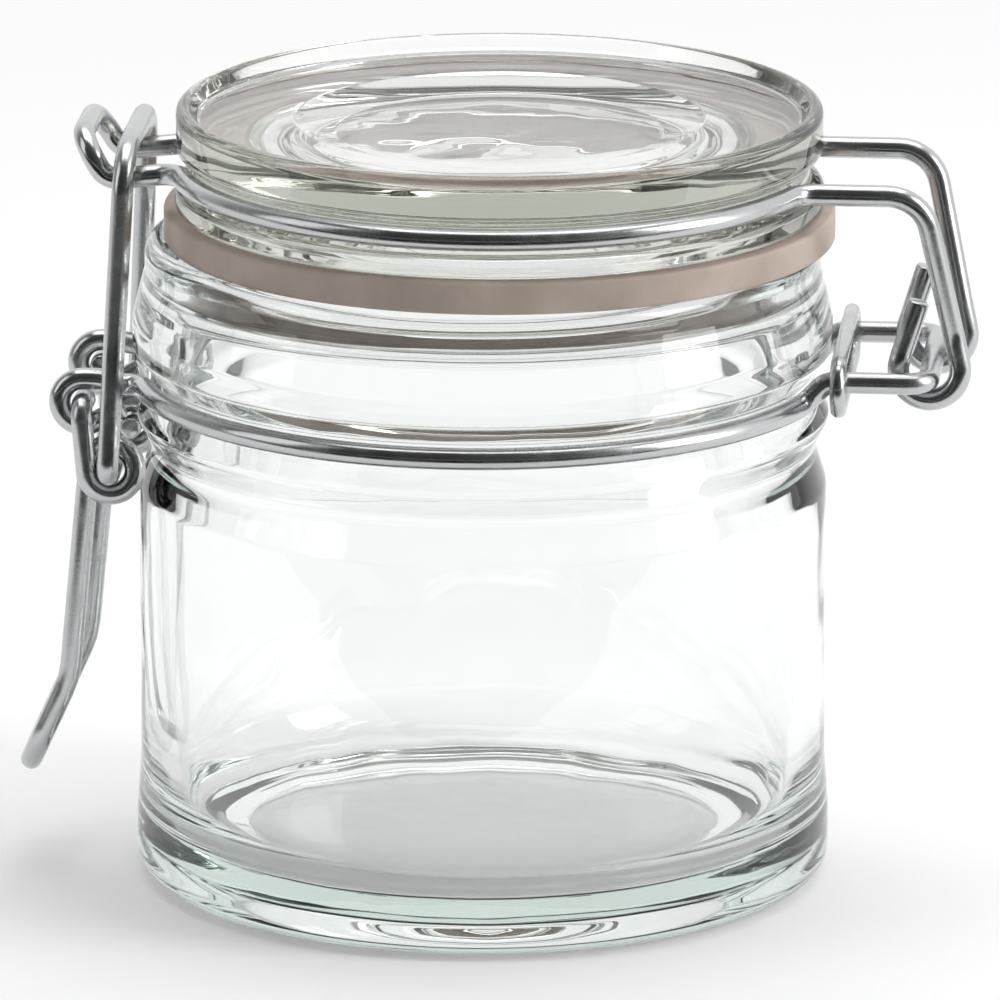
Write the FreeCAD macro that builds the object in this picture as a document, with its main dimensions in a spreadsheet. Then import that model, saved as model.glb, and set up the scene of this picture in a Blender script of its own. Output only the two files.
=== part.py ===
import FreeCAD, Part
import math
import os
import Sketcher

# A clip-top jar of clear glass, standing shut on its base.
# +X points to the wire hinge, -X to the clip and +Z up. The origin is the
# middle of the jar's base, on the plane it stands on. Lengths are in mm.

doc = FreeCAD.newDocument("clip_top_jar")
V = FreeCAD.Vector

# ---------------------------------------------------------------- sizes
# name, value, what it is
SIZES = [
    # the jar, from the base up
    ("wall_radius", 34.65, "outside radius of the straight wall"),
    ("wall_thickness", 3.3, "glass thickness of the straight wall"),
    ("wall_height", 40.4, "height where the wall turns in to the waist"),
    ("heel_swell", 0.4, "how far the heel stands out from the wall"),
    ("heel_height", 6.5, "height of the widest line of the heel"),
    ("heel_run", 5.5, "height over which the heel blends into the wall"),
    ("heel_round", 2.6, "rounding of the base corner"),
    ("foot_width", 7.0, "width of the foot that the jar stands on"),
    ("punt_slope", 3.5, "width of the sloping side of the hollow base"),
    ("punt_depth", 1.8, "depth of the hollow base"),
    ("floor_height", 4.4, "height of the inside floor"),
    ("floor_round", 6.2, "rounding between the inside floor and the wall"),
    ("waist_depth", 1.25, "how far the waist is drawn in from the wall"),
    ("waist_rise", 4.0, "height of the waist over the wall's end"),
    ("bead_swell", 0.3, "how far the bead stands out from the wall"),
    ("bead_rise", 3.2, "height of the bead over the waist"),
    ("groove_depth", 1.25, "depth of the neck wire's groove from the wall"),
    ("groove_half", 1.1, "half the width of the groove's flat bottom"),
    ("groove_rise", 3.7, "height of the groove's middle over the bead"),
    ("shoulder_swell", 0.6, "how far the shoulder stands out from the wall"),
    ("shoulder_rise", 3.3, "height of the shoulder's foot over the groove"),
    ("shoulder_band", 2.6, "height of the shoulder's widest band"),
    ("neck_step", 0.7, "how far the neck is drawn in from the wall"),
    ("neck_rise", 5.4, "height of the slope between shoulder and neck"),
    ("neck_band", 3.0, "height of the straight neck"),
    ("rim_width", 6.35, "width of the flat rim that the seal lies on"),
    ("mouth_depth", 2.6, "depth of the straight mouth"),
    ("ledge_rise", 5.8, "height of the inside wall's end over the shoulder's foot"),
    ("soft_round", 2.4, "rounding of the jar's broad curves"),
    ("tight_round", 0.7, "rounding of the bead and the groove"),
    ("rim_round", 1.7, "rounding of the rim's outer edge"),
    # the seal and the lid
    ("lid_offset", 1.7, "how far the lid sits off the jar's axis, to the hinge"),
    ("seal_thickness", 3.25, "thickness of the rubber ring under load"),
    ("seal_inset", 0.25, "how far the seal stays in from the neck's outside"),
    ("seal_play", 0.8, "gap between the seal and the plug inside it"),
    ("flange_inset", 1.1, "how far the lid's flange stays in from the seal"),
    ("flange_band", 2.3, "height of the flange's side"),
    ("lid_groove_depth", 1.45, "depth of the lid wire's groove"),
    ("lid_groove_slope", 0.5, "height of each sloping side of that groove"),
    ("lid_groove_band", 2.4, "height of that groove's bottom"),
    ("lid_rim_inset", 0.15, "how far the lid's rim stays in from the flange"),
    ("lid_rim_band", 4.6, "height of the rim's side"),
    ("lid_edge_width", 1.3, "width of the top of the lid's raised edge"),
    ("lid_edge_slope", 0.9, "width of the slope inside that edge"),
    ("lid_edge_rise", 1.5, "height of that edge over the flat top"),
    ("lid_round", 0.9, "rounding of the rim"),
    ("dish_radius", 20.6, "radius where the lid's middle starts to sink"),
    ("disc_radius", 16.4, "radius of the lid's flat middle"),
    ("disc_depth", 1.3, "depth of the middle under the flat top"),
    ("plug_gap", 1.1, "gap between the plug and the mouth on the hinge side"),
    ("plug_depth", 3.6, "depth of the plug under the flange"),
    ("plug_rim", 2.8, "width of the plug's rim"),
    ("plug_slope", 1.6, "width of the sloping side of its hollow"),
    ("hollow_rise", 2.2, "height of the hollow's roof over the flange's foot"),
    ("plug_round", 1.2, "rounding of the plug's edge"),
    # the wires
    ("wire_size", 2.2, "diameter of the spring wire"),
    ("seat_play", 0.06, "gap between a wire and the groove it lies in"),
    ("pivot_play", 0.2, "gap round a pin in its eye or coil"),
    ("side_gap", 0.4, "side gap between neighbouring wires of the clip"),
    ("pin_bend", 1.5, "bend between a pin and its strand"),
    ("pin_reach", 0.4, "how far a pin's end stands out of its eye or coil"),
    # the neck wire
    ("neck_bend", 2.2, "bend where the neck wire leaves its groove"),
    ("eye_rise", 0.5, "height of the eyes' strands over the neck wire"),
    ("eye_rise_bend", 4.0, "bends at both ends of that rise"),
    ("eye_rise_start", 0.5, "distance of that rise from the wire's bend out of its groove"),
    ("eye_rise_end", 1.5, "distance of the rise's other end from the lever's pivot"),
    ("eye_spread", 8.0, "distance of each eye from the middle plane"),
    ("eye_tail", 3.2, "length of an eye's straight end"),
    ("eye_tail_lean", 30.0, "lean of that end over the level, in degrees"),
    ("hinge_stand", 10.15, "distance of the hinge bar from the shoulder"),
    ("hinge_rise", 2.4, "height of the hinge bar over the neck wire"),
    ("hinge_run", 2.35, "length over which the hinge strands rise"),
    ("hinge_bend", 1.9, "bend at the top of that rise"),
    ("hinge_spread", 10.5, "distance of the hinge strands from the middle"),
    ("hinge_corner", 2.2, "corner radius of the hinge bar"),
    ("ring_wire_size", 1.6, "diameter of the small ring's wire"),
    ("ring_play", 0.5, "mean gap between the small ring and the strands in it"),
    ("ring_drop", 0.35, "how far the small ring hangs down in that gap"),
    ("ring_lead", 1.25, "distance of the small ring from the end of the rise"),
    # the lid wire
    ("lid_bend", 3.0, "bend where the lid wire leaves the lid"),
    ("leg_corner", 4.2, "bend at the top of a leg"),
    ("leg_spread", 10.4, "distance of the legs' tops from the middle plane"),
    ("leg_lean", 12.0, "lean of the legs from upright, in degrees"),
    ("leg_bend", 8.0, "bend where a leg comes in line with its hook"),
    ("leg_foot", 3.0, "length of the straight end of a leg above its hook"),
    ("hook_inset", 0.9, "gap between a hook and the hinge strand beside it"),
    ("hook_bend", 3.1, "radius of the hooks round the hinge bar"),
    ("hook_play", 0.15, "gap between a hook and the bar that it pulls on"),
    ("hook_tail", 6.4, "length of the hook's straight end"),
    ("hook_tail_lean", 17.0, "lean of that end from upright, in degrees"),
    ("nose_spread", 6.6, "distance of the nose's strands from the middle"),
    ("nose_stand", 6.6, "distance of the nose's bend from the lid's wire ring"),
    ("nose_drop", 0.8, "how far the nose's strands drop to its bend"),
    ("nose_length", 4.9, "length of the raised nose"),
    ("nose_lift", 59.0, "lift of the nose over the level, in degrees"),
    ("nose_bend", 2.0, "bend where the nose turns up"),
    ("nose_corner", 3.3, "corner radius of the nose"),
    # the lever and the yoke
    ("coil_gap", 0.2, "gap between a coil and the eye above it"),
    ("coil_dip", 66.0, "angle of the coils under the lever's pivot, in degrees"),
    ("coil_clearance", 0.05, "gap between the coils and the glass"),
    ("turn_gap", 0.12, "side gap between the turns of a coil"),
    ("handle_run", 22.4, "length of the handle's straight run"),
    ("handle_lean", 5.5, "lean of that run from upright, in degrees"),
    ("tip_length", 10.8, "length of the handle's tip"),
    ("tip_lean", 24.5, "lean of the tip from upright, in degrees"),
    ("tip_bend", 9.0, "bend between the run and the tip"),
    ("tip_corner", 4.8, "corner radius of the handle's closed end"),
    ("yoke_rise", 2.8, "height of the yoke's bar over the nose's strands"),
    ("yoke_hold", 2.3, "distance of the yoke's bar from the nose's bend"),
    ("yoke_spread", 10.5, "distance of the yoke's top corners from the middle"),
    ("yoke_corner", 4.6, "corner radius of the yoke's top"),
]

sheet = doc.addObject("Spreadsheet::Sheet", "Sizes")
for row, (name, value, note) in enumerate(SIZES, start=1):
    sheet.set(f"A{row}", note)
    sheet.set(f"B{row}", str(value))
    sheet.setAlias(f"B{row}", name)
doc.recompute()


def size(terms):
    """The value of a size, or of a sum of sizes such as 'wall_radius - neck_step'."""
    total, sign = 0.0, 1.0
    for word in terms.split():
        if word in "+-":
            sign = 1.0 if word == "+" else -1.0
        else:
            total += sign * float(sheet.get(word))
    return total


def expression(terms):
    """The same sum as an expression on the sheet."""
    return " ".join(word if word in "+-" else f"Sizes.{word}" for word in terms.split())


# Heights and radii that several pieces share, as sums of sizes.
WAIST_HEIGHT = "wall_height + waist_rise"
BEAD_HEIGHT = WAIST_HEIGHT + " + bead_rise"
GROOVE_HEIGHT = BEAD_HEIGHT + " + groove_rise"
SHOULDER_HEIGHT = GROOVE_HEIGHT + " + shoulder_rise"
NECK_HEIGHT = SHOULDER_HEIGHT + " + shoulder_band + neck_rise"
RIM_HEIGHT = NECK_HEIGHT + " + neck_band"
LID_FOOT = RIM_HEIGHT + " + seal_thickness"
FOOT_RADIUS = "wall_radius + heel_swell - foot_width"
GROOVE_RADIUS = "wall_radius - groove_depth"
SHOULDER_RADIUS = "wall_radius + shoulder_swell"
NECK_RADIUS = "wall_radius - neck_step"
MOUTH_RADIUS = NECK_RADIUS + " - rim_width"
INSIDE_RADIUS = "wall_radius - wall_thickness"
PLUG_RADIUS = MOUTH_RADIUS + " - lid_offset - plug_gap"
SEAL_RADIUS = NECK_RADIUS + " - seal_inset"
FLANGE_RADIUS = SEAL_RADIUS + " - flange_inset"
LID_GROOVE_RADIUS = FLANGE_RADIUS + " - lid_groove_depth"
LID_RIM_RADIUS = FLANGE_RADIUS + " - lid_rim_inset"
LID_GROOVE_FOOT = LID_FOOT + " + flange_band + lid_groove_slope"
LID_GROOVE_TOP = LID_GROOVE_FOOT + " + lid_groove_band"
LID_TOP = LID_GROOVE_TOP + " + lid_groove_slope + lid_rim_band"


# ---------------------------------------------------------------- turned pieces
def turned_body(label, outline):
    """A body turned about Z. The outline lists (radius, height) sums, '' being zero."""
    body = doc.addObject("PartDesign::Body", label)
    body.Label = label
    plane = [o for o in body.Origin.OriginFeatures if o.Role == "XZ_Plane"][0]
    sketch = body.newObject("Sketcher::SketchObject", label + "_outline")
    sketch.AttachmentSupport = [(plane, "")]
    sketch.MapMode = "FlatFace"
    corners = [V(size(radius), size(height), 0) for radius, height in outline]
    for here, there in zip(corners, corners[1:] + corners[:1]):
        sketch.addGeometry(Part.LineSegment(here, there), False)
    last = len(outline) - 1
    for i, (radius, height) in enumerate(outline):
        before = i - 1 if i else last
        sketch.addConstraint(Sketcher.Constraint("Coincident", before, 2, i, 1))
        sides = (("DistanceX", radius, corners[i].x, -2), ("DistanceY", height, corners[i].y, -1))
        for kind, terms, value, axis in sides:
            if terms:
                number = sketch.addConstraint(Sketcher.Constraint(kind, -1, 1, i, 1, value))
                sketch.setExpression(f"Constraints[{number}]", expression(terms))
            else:
                sketch.addConstraint(Sketcher.Constraint("PointOnObject", i, 1, axis))
    turn = body.newObject("PartDesign::Revolution", label + "_turn")
    turn.Profile = sketch
    turn.ReferenceAxis = (sketch, ["V_Axis"])
    turn.Angle = 360
    doc.recompute()
    return body


def round_edges(body, radius, places):
    """Round the edges of a turned body that run through the given (radius, height) places."""
    base = body.Tip
    names = []
    for place_radius, place_height in places:
        for i, edge in enumerate(base.Shape.Edges, start=1):
            if not isinstance(edge.Curve, Part.Circle):
                continue
            off_radius = abs(edge.Curve.Radius - size(place_radius))
            off_height = abs(edge.Curve.Center.z - size(place_height))
            if max(off_radius, off_height) < 1e-4:
                names.append(f"Edge{i}")
    fillet = body.newObject("PartDesign::Fillet", f"{body.Label}_{radius}")
    fillet.Base = (base, names)
    fillet.setExpression("Radius", f"Sizes.{radius}")
    doc.recompute()
    if len(names) != len(places):
        raise RuntimeError(f"{body.Label}: {radius} found {len(names)} edges of {len(places)}")


HEEL = ("wall_radius + heel_swell", "heel_height")
WALL_FOOT = ("wall_radius", "heel_height + heel_run")
WALL_TOP = ("wall_radius", "wall_height")
WAIST = ("wall_radius - waist_depth", WAIST_HEIGHT)
BEAD = ("wall_radius + bead_swell", BEAD_HEIGHT)
GROOVE_FOOT = (GROOVE_RADIUS, GROOVE_HEIGHT + " - groove_half")
GROOVE_TOP = (GROOVE_RADIUS, GROOVE_HEIGHT + " + groove_half")
SHOULDER_FOOT = (SHOULDER_RADIUS, SHOULDER_HEIGHT)
SHOULDER_TOP = (SHOULDER_RADIUS, SHOULDER_HEIGHT + " + shoulder_band")
NECK_FOOT = (NECK_RADIUS, NECK_HEIGHT)
RIM = (NECK_RADIUS, RIM_HEIGHT)
MOUTH_TOP = (MOUTH_RADIUS, RIM_HEIGHT)
MOUTH_FOOT = (MOUTH_RADIUS, RIM_HEIGHT + " - mouth_depth")
INSIDE_TOP = (INSIDE_RADIUS, SHOULDER_HEIGHT + " + ledge_rise")
INSIDE_FOOT = (INSIDE_RADIUS, "floor_height")
BASE_CORNER = ("wall_radius + heel_swell", "")
OUTSIDE = [BASE_CORNER, HEEL, WALL_FOOT, WALL_TOP, WAIST, BEAD, GROOVE_FOOT, GROOVE_TOP]
OUTSIDE += [SHOULDER_FOOT, SHOULDER_TOP, NECK_FOOT, RIM]
INSIDE = [MOUTH_TOP, MOUTH_FOOT, INSIDE_TOP, INSIDE_FOOT]
PUNT = [("", "punt_depth"), (FOOT_RADIUS + " - punt_slope", "punt_depth"), (FOOT_RADIUS, "")]

jar = turned_body("jar_body", PUNT + OUTSIDE + INSIDE + [("", "floor_height")])
round_edges(jar, "heel_round", [BASE_CORNER])
round_edges(jar, "floor_round", [INSIDE_FOOT])
round_edges(jar, "soft_round", [WALL_TOP, WAIST, SHOULDER_TOP, NECK_FOOT, MOUTH_FOOT, INSIDE_TOP])
round_edges(jar, "tight_round", [BEAD, GROOVE_FOOT, GROOVE_TOP, SHOULDER_FOOT, MOUTH_TOP])
round_edges(jar, "rim_round", [RIM])

SEAL_BORE = PLUG_RADIUS + " + seal_play"
seal_outline = [(SEAL_BORE, RIM_HEIGHT), (SEAL_RADIUS, RIM_HEIGHT), (SEAL_RADIUS, LID_FOOT), (SEAL_BORE, LID_FOOT)]
seal = turned_body("seal_ring", seal_outline)

PLUG_FOOT = LID_FOOT + " - plug_depth"
HOLLOW_TOP = LID_FOOT + " + hollow_rise"
TOP_FLAT = LID_TOP + " - lid_edge_rise"
RIM_SIDE = (LID_RIM_RADIUS, LID_TOP)
FLANGE_TOP = (FLANGE_RADIUS, LID_FOOT + " + flange_band")
PLUG_EDGE = (PLUG_RADIUS, PLUG_FOOT)
PLUG_INSIDE = (PLUG_RADIUS + " - plug_rim", PLUG_FOOT)
HOLLOW_EDGE = (PLUG_RADIUS + " - plug_rim - plug_slope", HOLLOW_TOP)
EDGE_INSIDE = (LID_RIM_RADIUS + " - lid_edge_width", LID_TOP)
EDGE_FOOT = (LID_RIM_RADIUS + " - lid_edge_width - lid_edge_slope", TOP_FLAT)
RIM_FOOT = (LID_RIM_RADIUS, LID_GROOVE_TOP + " + lid_groove_slope")
DISH_EDGE = ("dish_radius", TOP_FLAT)
DISC_EDGE = ("disc_radius", TOP_FLAT + " - disc_depth")
lid_outline = [
    ("", HOLLOW_TOP),
    HOLLOW_EDGE,
    PLUG_INSIDE,
    PLUG_EDGE,
    (PLUG_RADIUS, LID_FOOT),
    (FLANGE_RADIUS, LID_FOOT),
    FLANGE_TOP,
    (LID_GROOVE_RADIUS, LID_GROOVE_FOOT),
    (LID_GROOVE_RADIUS, LID_GROOVE_TOP),
    RIM_FOOT,
    RIM_SIDE,
    EDGE_INSIDE,
    EDGE_FOOT,
    DISH_EDGE,
    DISC_EDGE,
    ("", TOP_FLAT + " - disc_depth"),
]
lid = turned_body("lid_glass", lid_outline)
round_edges(lid, "plug_round", [PLUG_EDGE, HOLLOW_EDGE])
round_edges(lid, "lid_round", [RIM_SIDE, DISH_EDGE, DISC_EDGE, FLANGE_TOP, RIM_FOOT])
for piece in (seal, lid):
    piece.setExpression(".Placement.Base.x", "Sizes.lid_offset")
doc.recompute()


# ---------------------------------------------------------------- bent wires
wire = size("wire_size")
half = wire / 2
LENGTHS = {}


def at(angle, radius=1.0):
    """The (x, z) or (x, y) offset at an angle in degrees."""
    return radius * math.cos(math.radians(angle)), radius * math.sin(math.radians(angle))


def turn_corners(centre, radius, start, sweep, plane, side, last_side=None):
    """The corners of equal bends that follow an arc, each with its radius.

    The plane is 'xy' or 'xz', and side is the third coordinate. It changes
    evenly to last_side along a coil.
    """
    count = max(2, math.ceil(abs(sweep) / 75))
    step = sweep / count
    shift = 0 if last_side is None else (last_side - side) / count
    corners = []
    for i in range(count):
        u, v = at(start + (i + 0.5) * step, radius / math.cos(math.radians(step / 2)))
        other = side + (i + 0.5) * shift
        if plane == "xy":
            corners.append((V(centre[0] + u, centre[1] + v, other), radius))
        else:
            corners.append((V(centre[0] + u, other, centre[1] + v), radius))
    return corners


def bent_wire(label, corners, diameter="wire_size", closed=False):
    """A round wire along straight runs with a bend at each corner, swept as one solid."""
    count = len(corners)
    edges = []
    bends = []
    for i in range(0 if closed else 1, count if closed else count - 1):
        here, radius = corners[i]
        back = (corners[i - 1][0] - here).normalize()
        ahead = (corners[(i + 1) % count][0] - here).normalize()
        half_turn = (math.pi - back.getAngle(ahead)) / 2
        reach = radius * math.tan(half_turn)
        inside = (back + ahead).normalize()
        middle = here + inside * (radius / math.cos(half_turn) - radius)
        bends.append((here + back * reach, middle, here + ahead * reach))
    stops = [bends[-1][2]] if closed else [corners[0][0]]
    for first, middle, last in bends:
        if (first - stops[-1]).Length > 1e-3:
            edges.append(Part.LineSegment(stops[-1], first).toShape())
        edges.append(Part.Arc(first, middle, last).toShape())
        stops.append(last)
    if not closed:
        edges.append(Part.LineSegment(stops[-1], corners[-1][0]).toShape())
    path = doc.addObject("Part::Feature", label + "_path")
    path.Shape = Part.Wire(edges)
    section = doc.addObject("Part::Circle", label + "_section")
    section.setExpression("Radius", f"Sizes.{diameter} / 2")
    start = edges[0]
    heading = start.tangentAt(start.FirstParameter)
    section.Placement = FreeCAD.Placement(start.firstVertex().Point, FreeCAD.Rotation(V(0, 0, 1), heading))
    sweep = doc.addObject("Part::Sweep", label)
    sweep.Label = label
    sweep.Sections = [section]
    sweep.Spine = (path, [f"Edge{i + 1}" for i in range(len(edges))])
    sweep.Solid = True
    sweep.Transition = "Transformed"
    LENGTHS[label] = path.Shape.Length
    return sweep


def mirrored(corners):
    """The corners of the other half of a wire that is alike on both sides of the XZ plane."""
    return [(V(p.x, -p.y, p.z), radius) for p, radius in reversed(corners)]


def leaving(ring_x, ring_radius, bend, spread, towards):
    """Where a strand at y = -spread leaves a ring, as its corner and the ring's angle.

    towards is 1 for a strand to +X and -1 for one to -X.
    """
    run = math.sqrt((ring_radius + bend) ** 2 - (spread + bend) ** 2)
    angle = math.degrees(math.atan2(-(spread + bend), towards * run))
    # the corner is where the strand's line meets the ring's tangent at that angle
    u, v = at(angle)
    corner_x = (ring_radius + spread * v) / u
    return ring_x + corner_x, angle, ring_x + towards * run


# The neck wire lies in the jar's groove. Its ends curl down into eyes at the
# clip, and at the back it stands out as the bar that the lid turns on.
neck_z = size(GROOVE_HEIGHT)
neck_ring = size(GROOVE_RADIUS) + size("seat_play") + half
eye_y = size("eye_spread")
eye_bend = half + size("pivot_play") + half
hinge_y = size("hinge_spread")
hinge_x = size(SHOULDER_RADIUS) + size("hinge_stand")
hinge_z = neck_z + size("hinge_rise")
bend = size("neck_bend")
clip_corner, clip_angle, clip_end = leaving(0, neck_ring, bend, eye_y, -1)
rise_corner, rise_angle, _ = leaving(0, neck_ring, bend, hinge_y, 1)
hinge_run = size("hinge_run")
hinge_rise = size("hinge_rise")
rise_end = rise_corner + hinge_run
# this bend turns up as well as out, and as it keeps its length it is tighter
ring_heading = V(-math.sin(math.radians(rise_angle)), math.cos(math.radians(rise_angle)), 0)
flat_turn = ring_heading.getAngle(V(1, 0, 0))
whole_turn = ring_heading.getAngle(V(hinge_run, 0, hinge_rise))
rise_bend = bend * math.tan(flat_turn / 2) / math.tan(whole_turn / 2)

# The coils hang as close to the glass as their clearance lets them.
eye_z = neck_z + size("eye_rise")
pivot_z = eye_z - eye_bend
coil_outside = eye_bend + half
coil_dx, coil_dz = at(-size("coil_dip"), 2 * coil_outside + size("coil_gap"))
coil_z = pivot_z + coil_dz
lever_y = eye_y + wire + size("side_gap")
handle_y = lever_y - wire - size("turn_gap")


def glass_radius(height):
    """The jar's outside radius at a height, on the unrounded outline."""
    points = [(size(r), size(z)) for r, z in OUTSIDE[1:]]
    for (r0, z0), (r1, z1) in zip(points, points[1:]):
        if z0 <= height <= z1:
            return r0 + (r1 - r0) * (height - z0) / (z1 - z0)
    return points[0][0]


coil_reach = 0
for degrees in range(-90, 95, 5):
    out, up = at(degrees, coil_outside)
    coil_reach = max(coil_reach, math.sqrt(glass_radius(coil_z + up) ** 2 - handle_y**2) + out)
coil_x = -(coil_reach + size("coil_clearance"))
pivot_x = coil_x - coil_dx

tail_heading = size("eye_tail_lean")
tail_x, tail_z = at(tail_heading - 90, eye_bend)
tail_dx, tail_dz = at(tail_heading, size("eye_tail"))
eye_end = V(pivot_x + tail_x + tail_dx, -eye_y, pivot_z + tail_z + tail_dz)
neck_half = [(eye_end, 0)]
neck_half += turn_corners((pivot_x, pivot_z), eye_bend, tail_heading - 90, -(180 + tail_heading), "xz", -eye_y)
eye_rise_bend = size("eye_rise_bend")
neck_half += [
    (V(pivot_x + size("eye_rise_end"), -eye_y, eye_z), eye_rise_bend),
    (V(clip_end - size("eye_rise_start"), -eye_y, neck_z), eye_rise_bend),
    (V(clip_corner, -eye_y, neck_z), bend),
]
neck_half += turn_corners((0, 0), neck_ring, clip_angle, rise_angle - clip_angle, "xy", neck_z)
neck_half += [
    (V(rise_corner, -hinge_y, neck_z), rise_bend),
    (V(rise_end, -hinge_y, hinge_z), size("hinge_bend")),
    (V(hinge_x, -hinge_y, hinge_z), size("hinge_corner")),
]
bent_wire("collar_wire", neck_half + mirrored(neck_half))

# A small ring of thinner wire holds the two hinge strands together.
ring_half = size("ring_wire_size") / 2
ring_reach = half + size("ring_play") + ring_half
ring_middle = V(rise_end + size("ring_lead"), 0, hinge_z - size("ring_drop"))
ring_up = V(0, 0, ring_reach)
ring_out = V(0, hinge_y + ring_reach, 0)
ring_corners = [ring_up - ring_out, ring_up + ring_out, ring_out - ring_up, -ring_up - ring_out]
bent_wire("ring_clip", [(ring_middle + corner, ring_reach) for corner in ring_corners], "ring_wire_size", True)

# The lid wire lies in the lid's groove. Its legs hook under the hinge bar, and
# at the clip it turns up into the nose that the yoke pulls down.
lid_x = size("lid_offset")
lid_ring = size(LID_GROOVE_RADIUS) + size("seat_play") + half
lid_z = size(LID_GROOVE_FOOT) + size("lid_groove_band") / 2
nose_y = size("nose_spread")
nose_x = lid_x - lid_ring - size("nose_stand")
nose_dx, nose_dz = at(180 - size("nose_lift"), size("nose_length"))
nose_z = lid_z - size("nose_drop")
leg_y = size("leg_spread")
hook_y = hinge_y - wire - size("hook_inset")
hook_bend = size("hook_bend")
hook_z = hinge_z + hook_bend - wire - size("hook_play")
leg_lean = size("leg_lean")
hook_dx, hook_dz = at(leg_lean, hook_bend)
leg_run, leg_drop = math.sin(math.radians(leg_lean)), math.cos(math.radians(leg_lean))
foot_x = hinge_x + hook_dx - leg_run * size("leg_foot")
foot_z = hook_z + hook_dz + leg_drop * size("leg_foot")
leg_top_x = foot_x - (lid_z - foot_z) * leg_run / leg_drop
tail_lean = size("hook_tail_lean")
tail_sweep = 180 + leg_lean + tail_lean
hook_end_x, hook_end_z = at(leg_lean - tail_sweep, hook_bend)
tail_dx, tail_dz = at(90 - tail_lean, size("hook_tail"))
nose_corner_x, nose_angle, _ = leaving(lid_x, lid_ring, size("lid_bend"), nose_y, -1)
leg_corner_x, leg_angle, _ = leaving(lid_x, lid_ring, size("lid_bend"), leg_y, 1)
lid_half = [
    (V(nose_x + nose_dx, -nose_y, nose_z + nose_dz), size("nose_corner")),
    (V(nose_x, -nose_y, nose_z), size("nose_bend")),
    (V(nose_corner_x, -nose_y, lid_z), size("lid_bend")),
]
lid_half += turn_corners((lid_x, 0), lid_ring, nose_angle, leg_angle - nose_angle, "xy", lid_z)
lid_half += [
    (V(leg_corner_x, -leg_y, lid_z), size("lid_bend")),
    (V(leg_top_x, -leg_y, lid_z), size("leg_corner")),
    (V(foot_x, -hook_y, foot_z), size("leg_bend")),
]
lid_half += turn_corners((hinge_x, hook_z), hook_bend, leg_lean, -tail_sweep, "xz", -hook_y)
lid_half += [(V(hinge_x + hook_end_x + tail_dx, -hook_y, hook_z + hook_end_z + tail_dz), 0)]
lid_half.reverse()
bent_wire("lid_wire", lid_half + mirrored(lid_half))

# The lever hangs in the eyes on short pins. Each side turns once round in a
# coil, and the handle below is closed at its tip.
strand = math.degrees(math.atan2(coil_z - pivot_z, coil_x - pivot_x))
strand -= math.degrees(math.asin(eye_bend / math.hypot(coil_x - pivot_x, coil_z - pivot_z)))
handle_heading = 270 - size("handle_lean")
run_x, run_z = at(handle_heading - 90, eye_bend)
run_dx, run_dz = at(handle_heading, size("handle_run"))
tip_dx, tip_dz = at(270 - size("tip_lean"), size("tip_length"))
tip_x = coil_x + run_x + run_dx
tip_z = coil_z + run_z + run_dz
lever_half = [
    (V(pivot_x, half + size("pin_reach") - eye_y, pivot_z), 0),
    (V(pivot_x, -lever_y, pivot_z), size("pin_bend")),
]
lever_half += turn_corners(
    (coil_x, coil_z), eye_bend, strand - 90, handle_heading - strand, "xz", -lever_y, -handle_y
)
lever_half += [
    (V(tip_x, -handle_y, tip_z), size("tip_bend")),
    (V(tip_x + tip_dx, -handle_y, tip_z + tip_dz), size("tip_corner")),
]
bent_wire("lever_wire", lever_half + mirrored(lever_half))

# The yoke turns in the coils on short pins, and its bar holds the nose down.
yoke_y = lever_y + wire + size("side_gap")
yoke_half = [
    (V(coil_x, half + size("pin_reach") - handle_y, coil_z), 0),
    (V(coil_x, -yoke_y, coil_z), size("pin_bend")),
    (V(nose_x + size("yoke_hold"), -size("yoke_spread"), lid_z + size("yoke_rise")), size("yoke_corner")),
]
bent_wire("yoke_wire", yoke_half + mirrored(yoke_half))
doc.recompute()

# ---------------------------------------------------------------- checks and export
problems = [o.Label for o in doc.Objects if "Invalid" in o.State or "Error" in o.State]
if problems:
    raise RuntimeError(f"objects in error: {problems}")

os.makedirs("parts", exist_ok=True)
NODES = ["jar_body", "collar_wire", "ring_clip", "lid_glass", "seal_ring", "lid_wire", "lever_wire", "yoke_wire"]
for label in NODES:
    shape = doc.getObjectsByLabel(label)[0].Shape
    if shape.isNull() or not shape.isValid() or len(shape.Solids) != 1:
        raise RuntimeError(f"{label} is not one valid solid")
    box = shape.BoundBox
    print(label, f"{shape.Volume / 1000:.3f} cm3, x {box.XMin:.2f} {box.XMax:.2f}, y {box.YMax:.2f},", end=" ")
    print(f"z {box.ZMin:.2f} {box.ZMax:.2f}")
    if label in LENGTHS:
        whole = LENGTHS[label] * math.pi * (ring_half if label == "ring_clip" else half) ** 2
        if abs(shape.Volume / whole - 1) > 0.002:
            raise RuntimeError(f"{label} holds {shape.Volume:.2f} mm3, and its path needs {whole:.2f}")
    shape.exportStep(f"parts/{label}.step")
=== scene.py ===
import math

import bmesh
import bpy
from mathutils import Matrix, Vector


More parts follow.
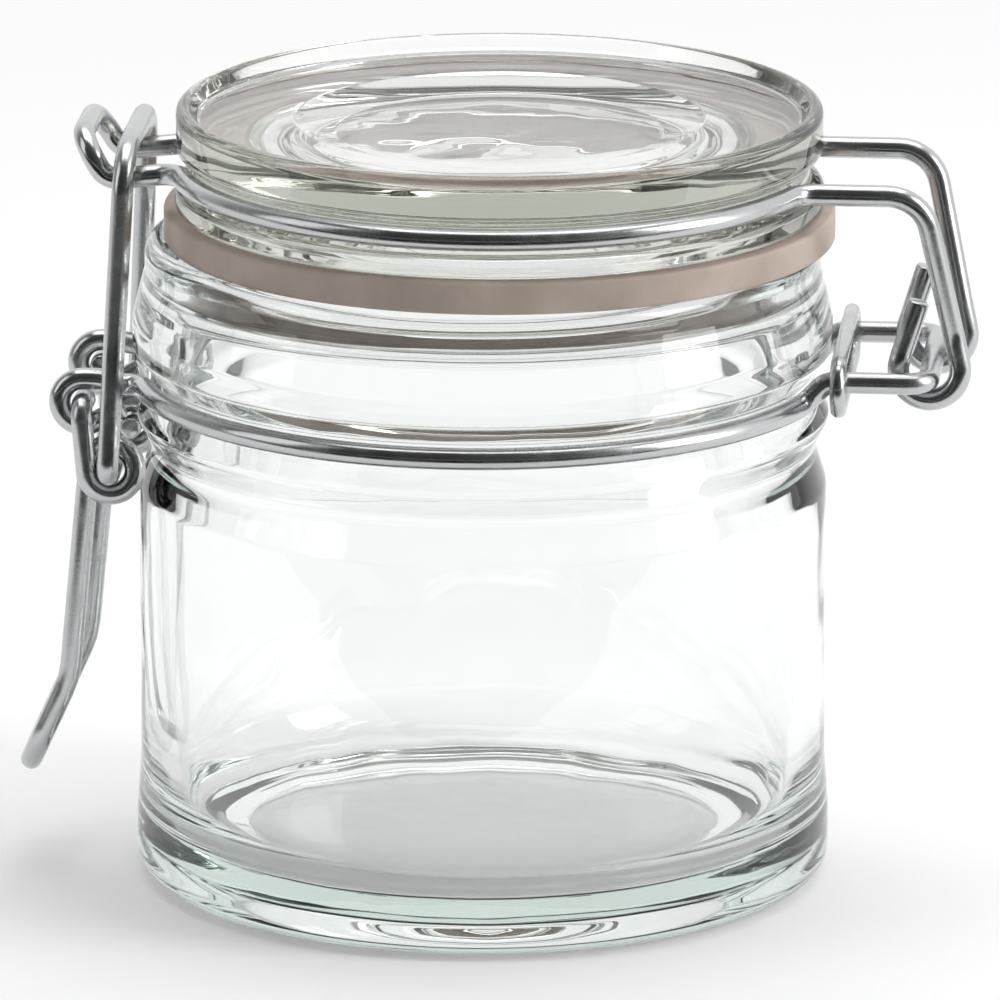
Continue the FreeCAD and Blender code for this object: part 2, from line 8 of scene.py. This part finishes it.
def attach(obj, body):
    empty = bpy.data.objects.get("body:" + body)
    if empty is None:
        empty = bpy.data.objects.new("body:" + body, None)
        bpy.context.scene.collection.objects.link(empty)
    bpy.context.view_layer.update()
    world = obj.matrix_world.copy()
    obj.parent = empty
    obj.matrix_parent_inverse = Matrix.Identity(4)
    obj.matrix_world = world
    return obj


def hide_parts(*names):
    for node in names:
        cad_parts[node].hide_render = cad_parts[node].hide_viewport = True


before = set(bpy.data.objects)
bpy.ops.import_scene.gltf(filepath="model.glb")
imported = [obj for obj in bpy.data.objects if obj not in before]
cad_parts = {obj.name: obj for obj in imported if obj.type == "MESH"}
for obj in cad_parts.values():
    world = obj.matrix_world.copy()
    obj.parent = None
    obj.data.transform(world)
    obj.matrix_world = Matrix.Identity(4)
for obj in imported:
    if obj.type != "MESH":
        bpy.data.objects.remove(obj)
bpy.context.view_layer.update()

# ---------------------------------------------------------------- camera
# The jar stands a little below eye height, seen from in front with the clip
# on the left and the hinge on the right. A long lens keeps its sides upright.
turn, lift, distance = math.radians(5), math.radians(14.87), 1.3
target = Vector((0.001743, 0, 0.038015))
back = Vector((math.sin(turn) * math.cos(lift), -math.cos(turn) * math.cos(lift), math.sin(lift)))
camera = bpy.data.objects.new("camera", bpy.data.cameras.new("camera"))
camera.data.sensor_width = 36
camera.data.lens = 463.6
camera.data.clip_end = 20
camera.location = target + back * distance
camera.rotation_mode = "QUATERNION"
camera.rotation_quaternion = (-back).to_track_quat("-Z", "Y")
bpy.context.collection.objects.link(camera)
bpy.context.scene.camera = camera

# ---------------------------------------------------------------- jar
# The jar is pressed soda-lime glass, turned in shape, with a bead and a groove
# under the shoulder for the neck wire. Pressing leaves its skin faintly wavy.
turn_steps = 180
fine_wave_share = 0.16
long_run = 0.002


def linear(code):
    """The linear colour of an sRGB hex value, opaque."""
    parts = [int(code[i : i + 2], 16) / 255 for i in (1, 3, 5)]
    return [c / 12.92 if c <= 0.04045 else ((c + 0.055) / 1.055) ** 2.4 for c in parts] + [1.0]


def add_node(material, kind, settings=None, links=None, **sockets):
    """A new node, its settings, its sockets' values and {socket: (node, output)} links."""
    node = material.node_tree.nodes.new(kind)
    for name, value in (settings or {}).items():
        setattr(node, name, value)
    for name, value in sockets.items():
        node.inputs[name.replace("_", " ")].default_value = value
    for name, (source, output) in (links or {}).items():
        material.node_tree.links.new(source.outputs[output], node.inputs[name])
    return node


def new_material(name):
    """An empty node material and its output node."""
    material = bpy.data.materials.new(name)
    material.use_nodes = True
    material.node_tree.nodes.clear()
    return material, add_node(material, "ShaderNodeOutputMaterial")


def pressed_glass(name, tint, density, wave):
    """Clear pressed glass, tinted by its thickness, with a wavy fire-polished skin."""
    material, output = new_material(name)
    place = add_node(material, "ShaderNodeTexCoord")
    on_piece = {"Vector": (place, "Object")}
    # slow waves about 14 mm across from pressing, and finer ones of 4 mm
    slow = add_node(material, "ShaderNodeTexNoise", links=on_piece, Scale=70, Detail=1.0)
    fine = add_node(material, "ShaderNodeTexNoise", links=on_piece, Scale=240, Detail=0.0)
    waves = add_node(
        material,
        "ShaderNodeMath",
        {"operation": "MULTIPLY_ADD"},
        {0: (fine, "Fac"), 2: (slow, "Fac")},
    )
    waves.inputs[1].default_value = fine_wave_share
    bump = add_node(
        material, "ShaderNodeBump", links={"Height": (waves, 0)}, Strength=1.0, Distance=wave
    )
    glass = add_node(
        material,
        "ShaderNodeBsdfPrincipled",
        links={"Normal": (bump, 0)},
        Base_Color=linear("#FFFFFF"),
        Roughness=0.0,
        IOR=1.51,
        Transmission_Weight=1.0,
    )
    depth = add_node(material, "ShaderNodeVolumeAbsorption", Color=linear(tint), Density=density)
    material.node_tree.links.new(glass.outputs[0], output.inputs["Surface"])
    material.node_tree.links.new(depth.outputs[0], output.inputs["Volume"])
    return material


def turned(name, outline, centre=0.0):
    """A piece turned about Z from (radius, height, rounding) corners in mm, shut at the axis."""
    mesh = bmesh.new()
    corners = [mesh.verts.new((radius / 1000, 0, height / 1000)) for radius, height, _ in outline]
    for here, there in zip(corners, corners[1:]):
        mesh.edges.new((here, there))
    is_ring = outline[0][0] > 0
    if is_ring:
        mesh.edges.new((corners[-1], corners[0]))
    for corner, (_, _, rounding) in zip(corners, outline):
        if not rounding:
            continue
        arms = [edge.other_vert(corner).co - corner.co for edge in corner.link_edges]
        half_turn = (math.pi - arms[0].angle(arms[1])) / 2
        bmesh.ops.bevel(
            mesh,
            geom=[corner],
            offset=rounding / 1000 * math.tan(half_turn),
            segments=max(3, round(math.degrees(half_turn) / 6)),
            profile=0.5,
            affect="VERTICES",
            material=-1,
        )
    # long runs are divided so that the shading stays flat up to each rounding
    long_runs = [edge for edge in mesh.edges if edge.calc_length() > long_run]
    bmesh.ops.subdivide_edges(mesh, edges=long_runs, cuts=6)
    bmesh.ops.spin(
        mesh,
        geom=mesh.verts[:] + mesh.edges[:],
        axis=(0, 0, 1),
        angle=math.tau,
        steps=turn_steps,
        use_merge=True,
    )
    bmesh.ops.remove_doubles(mesh, verts=mesh.verts, dist=1e-6)
    bmesh.ops.recalc_face_normals(mesh, faces=mesh.faces)
    bmesh.ops.translate(mesh, verts=mesh.verts, vec=(centre / 1000, 0, 0))
    return finished(name, mesh)


def finished(name, mesh):
    """The mesh as a smooth object at the origin."""
    for face in mesh.faces:
        face.smooth = True
    data = bpy.data.meshes.new(name)
    mesh.to_mesh(data)
    mesh.free()
    piece = bpy.data.objects.new(name, data)
    bpy.context.collection.objects.link(piece)
    return piece


jar = turned(
    "jar",
    [
        (0, 1.8, 0),
        (24.55, 1.8, 2.0),
        (28.05, 0.0, 1.6),
        (35.05, 0.0, 2.6),
        (35.05, 6.5, 8.0),
        (34.65, 12.0, 8.0),
        (34.65, 40.4, 2.4),
        (33.4, 44.4, 2.4),
        (34.95, 47.6, 0.7),
        (33.4, 50.2, 0.7),
        (33.4, 52.4, 0.7),
        (35.25, 54.6, 0.7),
        (35.25, 57.2, 2.4),
        (33.95, 62.6, 2.4),
        (33.95, 65.6, 1.7),
        (27.6, 65.6, 0.7),
        (27.6, 63.0, 2.4),
        (31.35, 60.4, 2.4),
        (31.35, 4.4, 6.2),
        (0, 4.4, 0),
    ],
)
jar.data.materials.append(pressed_glass("pressed_soda_lime_glass", "#C2D6CE", 16, 0.00012))
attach(jar, "jar")
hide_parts("jar_body")

# ---------------------------------------------------------------- lid
# The lid is a thick pressed glass disc with a groove round its side, a sunk
# middle and a hollow plug below. It sits a little towards the hinge.
lid_offset = 1.7
lid = turned(
    "lid",
    [
        (0, 71.05, 0),
        (20.4, 71.05, 1.2),
        (22.0, 65.25, 0.6),
        (24.8, 65.25, 1.2),
        (24.8, 68.85, 0.4),
        (32.6, 68.85, 0.5),
        (32.6, 71.15, 0.9),
        (31.15, 71.65, 0.4),
        (31.15, 74.05, 0.4),
        (32.45, 74.55, 0.9),
        (32.45, 79.15, 0.9),
        (31.15, 79.15, 0.5),
        (30.25, 77.65, 0.8),
        (20.6, 77.65, 0.9),
        (16.4, 76.35, 0.9),
        (0, 76.35, 0),
    ],
    lid_offset,
)
lid.data.materials.append(pressed_glass("pressed_lid_glass", "#B6BBA8", 20, 0.00015))
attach(lid, "lid")
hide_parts("lid_glass")

# ---------------------------------------------------------------- seal
# The seal is a flat ring of natural rubber, moulded and dusted with talc,
# which dulls it. It goes up with the lid. The talc keeps a film of air between
# it and the glass, 0.02 mm here, so the lid's side stays clear over it.
seal = turned(
    "seal",
    [(25.6, 65.62, 0.3), (33.7, 65.62, 0.35), (33.7, 68.83, 0.35), (25.6, 68.83, 0.3)],
    lid_offset,
)
rubber, rubber_output = new_material("moulded_natural_rubber")
rubber_place = add_node(rubber, "ShaderNodeTexCoord")
on_rubber = {"Vector": (rubber_place, "Object")}
# talc lies in patches of about 8 mm, and the cut edge has a grain of 0.4 mm
patches = add_node(rubber, "ShaderNodeTexNoise", links=on_rubber, Scale=120, Detail=3.0)
grain = add_node(rubber, "ShaderNodeTexNoise", links=on_rubber, Scale=2500, Detail=2.0)
shade = add_node(rubber, "ShaderNodeValToRGB", links={"Fac": (patches, "Fac")})
shade.color_ramp.elements[0].position = 0.3
shade.color_ramp.elements[0].color = linear("#AC9C90")
shade.color_ramp.elements[1].position = 0.7
shade.color_ramp.elements[1].color = linear("#C6B6AA")
dust = add_node(
    rubber, "ShaderNodeBump", links={"Height": (grain, "Fac")}, Strength=0.5, Distance=0.00005
)
rubber_skin = add_node(
    rubber,
    "ShaderNodeBsdfPrincipled",
    links={"Base Color": (shade, 0), "Normal": (dust, 0)},
    Roughness=0.62,
    IOR=1.52,
)
rubber.node_tree.links.new(rubber_skin.outputs[0], rubber_output.inputs["Surface"])
seal.data.materials.append(rubber)
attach(seal, "lid")
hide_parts("seal_ring")

# ---------------------------------------------------------------- neck wire
# The neck wire is hard drawn steel with bright zinc, bent cold. It lies in the
# groove, ends in two eyes at the clip and stands out as the hinge bar.
wire_size = 2.185
ring_wire_size = 1.6
section_sides = 20
end_chamfer = 0.0003


def extruded(mesh, section, run):
    """The edges of the new end after the section is drawn out along a straight run."""
    grown = bmesh.ops.extrude_edge_only(mesh, edges=section)["geom"]
    verts = {g for g in grown if isinstance(g, bmesh.types.BMVert)}
    bmesh.ops.translate(mesh, verts=list(verts), vec=run)
    return [g for g in grown if isinstance(g, bmesh.types.BMEdge) and verts.issuperset(g.verts)]


def bent_wire(name, corners, diameter, closed=False):
    """A round wire run through (place, bend radius) corners in mm: straight runs and bends."""
    places = [Vector(place) / 1000 for place, _ in corners]
    count = len(corners)
    mesh = bmesh.new()

    def bend_at(i):
        back_arm = (places[i - 1] - places[i]).normalized()
        ahead = (places[(i + 1) % count] - places[i]).normalized()
        half_turn = (math.pi - back_arm.angle(ahead)) / 2
        radius = corners[i][1] / 1000
        reach = radius * math.tan(half_turn)
        middle = places[i] + (back_arm + ahead).normalized() * (radius / math.cos(half_turn))
        return places[i] + back_arm * reach, middle, -back_arm, ahead, 2 * half_turn, reach

    if closed:
        place, _, _, heading, _, reach = bend_at(0)
        place = places[0] + heading * reach
        order = list(range(1, count)) + [0]
    else:
        place = places[0]
        heading = (places[1] - places[0]).normalized()
        order = range(1, count - 1)
    # the section is a circle square to the first run
    stand = Matrix.Translation(place) @ heading.to_track_quat("Z", "Y").to_matrix().to_4x4()
    bmesh.ops.create_circle(mesh, segments=section_sides, radius=diameter / 2000, matrix=stand)
    section = mesh.edges[:]
    if not closed:
        bmesh.ops.holes_fill(mesh, edges=section)
    for i in order:
        start, middle, back_heading, ahead, angle, _ = bend_at(i)
        run = start - place
        if run.length > 1e-5:
            section = extruded(mesh, section, run)
        # wide bends take finer steps, of 4 degrees, than tight ones, of 10
        step = 4 if corners[i][1] > 12 else 10
        turned_section = bmesh.ops.spin(
            mesh,
            geom=section + list({v for e in section for v in e.verts}),
            cent=middle,
            axis=back_heading.cross(ahead).normalized(),
            angle=angle,
            steps=max(2, math.ceil(math.degrees(angle) / step)),
        )["geom_last"]
        section = [g for g in turned_section if isinstance(g, bmesh.types.BMEdge)]
        place = places[i] + ahead * (corners[i][1] / 1000 * math.tan(angle / 2))
    if closed:
        bmesh.ops.remove_doubles(mesh, verts=mesh.verts, dist=2e-6)
    else:
        bmesh.ops.holes_fill(mesh, edges=extruded(mesh, section, places[-1] - place))
        # the cut ends have their burr taken off
        ends = [edge for edge in mesh.edges if any(len(face.verts) > 4 for face in edge.link_faces)]
        bmesh.ops.bevel(
            mesh,
            geom=ends,
            offset=end_chamfer,
            segments=3,
            profile=0.5,
            affect="EDGES",
            material=-1,
        )
    bmesh.ops.recalc_face_normals(mesh, faces=mesh.faces)
    return finished(name, mesh)


def both_halves(corners):
    """The corners of a whole wire from those of its half at -Y."""
    return corners + [((x, -y, z), radius) for (x, y, z), radius in reversed(corners)]


def zinc_wire(name, plate):
    """Bright zinc on drawn steel wire, with the faint clouds and grain that plating leaves."""
    material, output = new_material(name)
    place = add_node(material, "ShaderNodeTexCoord")
    on_wire = {"Vector": (place, "Object")}
    # clouds of 3 mm in the plate, and a crystal grain of 0.3 mm
    clouds = add_node(material, "ShaderNodeTexNoise", links=on_wire, Scale=330, Detail=3.0)
    crystals = add_node(material, "ShaderNodeTexNoise", links=on_wire, Scale=3200, Detail=1.0)
    gloss = add_node(
        material,
        "ShaderNodeMapRange",
        links={"Value": (clouds, "Fac")},
        From_Min=0.3,
        From_Max=0.7,
        To_Min=0.16,
        To_Max=0.3,
    )
    grain_bump = add_node(
        material, "ShaderNodeBump", links={"Height": (crystals, "Fac")}, Strength=0.25, Distance=0.00002
    )
    metal = add_node(
        material,
        "ShaderNodeBsdfPrincipled",
        links={"Roughness": (gloss, 0), "Normal": (grain_bump, 0)},
        Base_Color=linear(plate),
        Metallic=1.0,
    )
    material.node_tree.links.new(metal.outputs[0], output.inputs["Surface"])
    return material


neck_half = [
    ((-35.55, -8.00, 48.92), 0.00),
    ((-39.77, -8.00, 46.48), 2.40),
    ((-42.35, -8.00, 48.64), 2.40),
    ((-41.20, -8.00, 51.80), 2.40),
    ((-38.02, -8.00, 51.80), 4.00),
    ((-35.82, -8.00, 51.30), 4.00),
    ((-33.66, -8.00, 51.30), 2.20),
    ((-26.26, -33.64, 51.30), 34.56),
    ((23.78, -35.43, 51.30), 34.56),
    ((32.96, -10.50, 51.30), 1.96),
    ((35.31, -10.50, 53.70), 1.90),
    ((45.40, -10.50, 53.70), 2.20),
]
bright_zinc = zinc_wire("bright_zinc_on_drawn_steel", "#C2C3C4")
neck_wire = bent_wire("neck_wire", both_halves(neck_half), wire_size)
neck_wire.data.materials.append(bright_zinc)
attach(neck_wire, "jar")
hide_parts("collar_wire")

# ---------------------------------------------------------------- small ring
# A ring of thinner wire is pressed round the two hinge strands and keeps the
# neck wire tight in its groove.
small_ring = bent_wire(
    "small_ring",
    [
        ((36.56, -12.90, 55.75), 2.40),
        ((36.56, 12.90, 55.75), 2.40),
        ((36.56, 12.90, 50.95), 2.40),
        ((36.56, -12.90, 50.95), 2.40),
    ],
    ring_wire_size,
    closed=True,
)
small_ring.data.materials.append(bright_zinc)
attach(small_ring, "jar")
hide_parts("ring_clip")

# ---------------------------------------------------------------- lid wire
# The lid wire lies in the lid's groove. Its legs hook under the hinge bar, and
# at the clip it is turned up into a nose.
lid_half = [
    ((44.31, -7.40, 61.48), 0.00),
    ((41.80, -7.40, 53.29), 3.10),
    ((45.24, -7.40, 50.68), 3.10),
    ((48.88, -7.40, 52.98), 3.10),
    ((47.81, -7.40, 58.03), 8.00),
    ((44.66, -10.40, 72.85), 4.20),
    ((32.36, -10.40, 72.85), 3.00),
    ((22.85, -33.57, 72.85), 32.31),
    ((-23.13, -30.95, 72.85), 32.31),
    ((-30.01, -6.60, 72.85), 3.00),
    ((-37.21, -6.60, 72.05), 2.00),
    ((-39.73, -6.60, 76.25), 3.30),
]
lid_wire = bent_wire("lid_bail", both_halves(lid_half), wire_size)
lid_wire.data.materials.append(bright_zinc)
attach(lid_wire, "lid")
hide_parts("lid_wire")

# ---------------------------------------------------------------- lever
# The lever hangs in the eyes on two short pins, turns once round in a coil on
# each side and closes across at the tip, where a finger lifts it.
lever_half = [
    ((-39.52, -6.50, 49.40), 0.00),
    ((-39.52, -10.60, 49.40), 1.50),
    ((-38.85, -10.37, 40.96), 2.40),
    ((-35.61, -9.90, 40.06), 2.40),
    ((-33.66, -9.44, 42.80), 2.40),
    ((-35.56, -8.98, 45.57), 2.40),
    ((-38.82, -8.51, 44.73), 2.40),
    ((-41.13, -8.28, 20.76), 9.00),
    ((-45.61, -8.28, 10.93), 4.80),
]
lever = bent_wire("lever", both_halves(lever_half), wire_size)
lever.data.materials.append(bright_zinc)
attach(lever, "lever")
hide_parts("lever_wire")

# ---------------------------------------------------------------- yoke
# The yoke turns in the lever's coils, and its bar lies behind the nose and
# pulls the lid down.
yoke_half = [
    ((-36.59, -6.78, 42.82), 0.00),
    ((-36.59, -13.20, 42.82), 1.50),
    ((-34.91, -10.50, 75.65), 4.60),
]
yoke = bent_wire("yoke", both_halves(yoke_half), wire_size)
yoke.data.materials.append(bright_zinc)
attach(yoke, "yoke")
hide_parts("yoke_wire")

# ---------------------------------------------------------------- floor and light
# A plain white table under a white room that is dark only on the camera's side,
# so that clear glass and bright wire get dark lines, with soft lamps round it.
table_drop = 0.0002
table_half_width = 3
floor_mesh = bmesh.new()
bmesh.ops.create_grid(floor_mesh, x_segments=1, y_segments=1, size=table_half_width)
bmesh.ops.translate(floor_mesh, verts=floor_mesh.verts, vec=(0, 0, -table_drop))
floor = finished("floor", floor_mesh)
white_table, table_output = new_material("white_table")
ray = add_node(white_table, "ShaderNodeLightPath")
seen_or_bent = add_node(
    white_table,
    "ShaderNodeMath",
    {"operation": "MAXIMUM"},
    {0: (ray, "Is Camera Ray"), 1: (ray, "Is Transmission Ray")},
)
shown = add_node(
    white_table,
    "ShaderNodeMath",
    {"operation": "MAXIMUM"},
    {0: (seen_or_bent, 0), 1: (ray, "Is Glossy Ray")},
)
paper = add_node(white_table, "ShaderNodeBsdfDiffuse", Color=linear("#E8E8E8"))
no_glow = add_node(white_table, "ShaderNodeEmission", Color=linear("#000000"), Strength=0.0)
glow = add_node(white_table, "ShaderNodeEmission", Color=linear("#FFFFFF"), Strength=0.2)
lit = add_node(
    white_table, "ShaderNodeMixShader", links={0: (shown, 0), 1: (no_glow, 0), 2: (glow, 0)}
)
surface = add_node(white_table, "ShaderNodeAddShader", links={0: (paper, 0), 1: (lit, 0)})
white_table.node_tree.links.new(surface.outputs[0], table_output.inputs["Surface"])
floor.data.materials.append(white_table)

world = bpy.data.worlds.new("studio")
world.use_nodes = True
bpy.context.scene.world = world
world.node_tree.nodes.clear()
sky_out = add_node(world, "ShaderNodeOutputWorld")
direction = add_node(world, "ShaderNodeTexCoord")
# 1 straight behind the jar as the camera sees it, and -1 at the camera
behind = add_node(
    world, "ShaderNodeVectorMath", {"operation": "DOT_PRODUCT"}, {0: (direction, "Generated")}
)
behind.inputs[1].default_value = (0.4, 0.88, -0.26)
span = add_node(
    world, "ShaderNodeMapRange", links={"Value": (behind, "Value")}, From_Min=-1.0, From_Max=0.25
)
room = add_node(world, "ShaderNodeValToRGB", links={"Fac": (span, 0)})
room.color_ramp.elements[0].position = 0.0
room.color_ramp.elements[0].color = linear("#3A3A3A")
room.color_ramp.elements[1].position = 1.0
room.color_ramp.elements[1].color = linear("#FFFFFF")
dim = room.color_ramp.elements.new(0.45)
dim.color = linear("#5A5A5A")
grey = room.color_ramp.elements.new(0.72)
grey.color = linear("#B4B4B4")
room_light = add_node(world, "ShaderNodeBackground", links={"Color": (room, 0)}, Strength=1.0)
room_seen = add_node(world, "ShaderNodeBackground", Color=linear("#FFFFFF"), Strength=1.0)
sight = add_node(world, "ShaderNodeLightPath")
sky = add_node(
    world,
    "ShaderNodeMixShader",
    links={0: (sight, "Is Camera Ray"), 1: (room_light, 0), 2: (room_seen, 0)},
)
world.node_tree.links.new(sky.outputs[0], sky_out.inputs["Surface"])


def panel(name, place, width, height, watts):
    """A soft light panel facing the jar."""
    light = bpy.data.lights.new(name, "AREA")
    light.shape = "RECTANGLE"
    light.size = width
    light.size_y = height
    light.energy = watts
    lamp = bpy.data.objects.new(name, light)
    lamp.location = place
    lamp.rotation_mode = "QUATERNION"
    lamp.rotation_quaternion = (target - Vector(place)).to_track_quat("-Z", "Y")
    bpy.context.collection.objects.link(lamp)


panel("top_panel", (0.0, 0.1, 1.0), 0.9, 0.7, 4.5)
panel("left_panel", (-0.9, -0.3, 0.5), 0.5, 0.8, 1.5)
panel("right_panel", (0.9, -0.2, 0.45), 0.4, 0.8, 5)

# painted reflection: a dark sheet on the table in front, out of sight, that only
# reflections see; it paints a dark core into the bright wires
card_mesh = bmesh.new()
bmesh.ops.create_grid(card_mesh, x_segments=1, y_segments=1, size=0.5)
bmesh.ops.scale(card_mesh, verts=card_mesh.verts, vec=(1.6, 1.0, 1.0))
bmesh.ops.translate(card_mesh, verts=card_mesh.verts, vec=(-0.15, -0.61, 0.0005))
reflection_sheet = finished("dark_reflection_sheet", card_mesh)
dark_reflection_material, card_output = new_material("painted_dark_reflection")
# this dark colour shows only as a painted dark reflection in the wires
card_face = add_node(dark_reflection_material, "ShaderNodeBsdfDiffuse", Color=linear("#242424"))
dark_reflection_material.node_tree.links.new(card_face.outputs[0], card_output.inputs["Surface"])
reflection_sheet.data.materials.append(dark_reflection_material)
reflection_sheet.visible_camera = False
reflection_sheet.visible_diffuse = False
reflection_sheet.visible_transmission = False
reflection_sheet.visible_shadow = False

scene = bpy.context.scene
scene.view_settings.view_transform = "Standard"
# light needs many turns to get out of glass inside glass
scene.cycles.max_bounces = 14
scene.cycles.glossy_bounces = 10
scene.cycles.transmission_bounces = 14
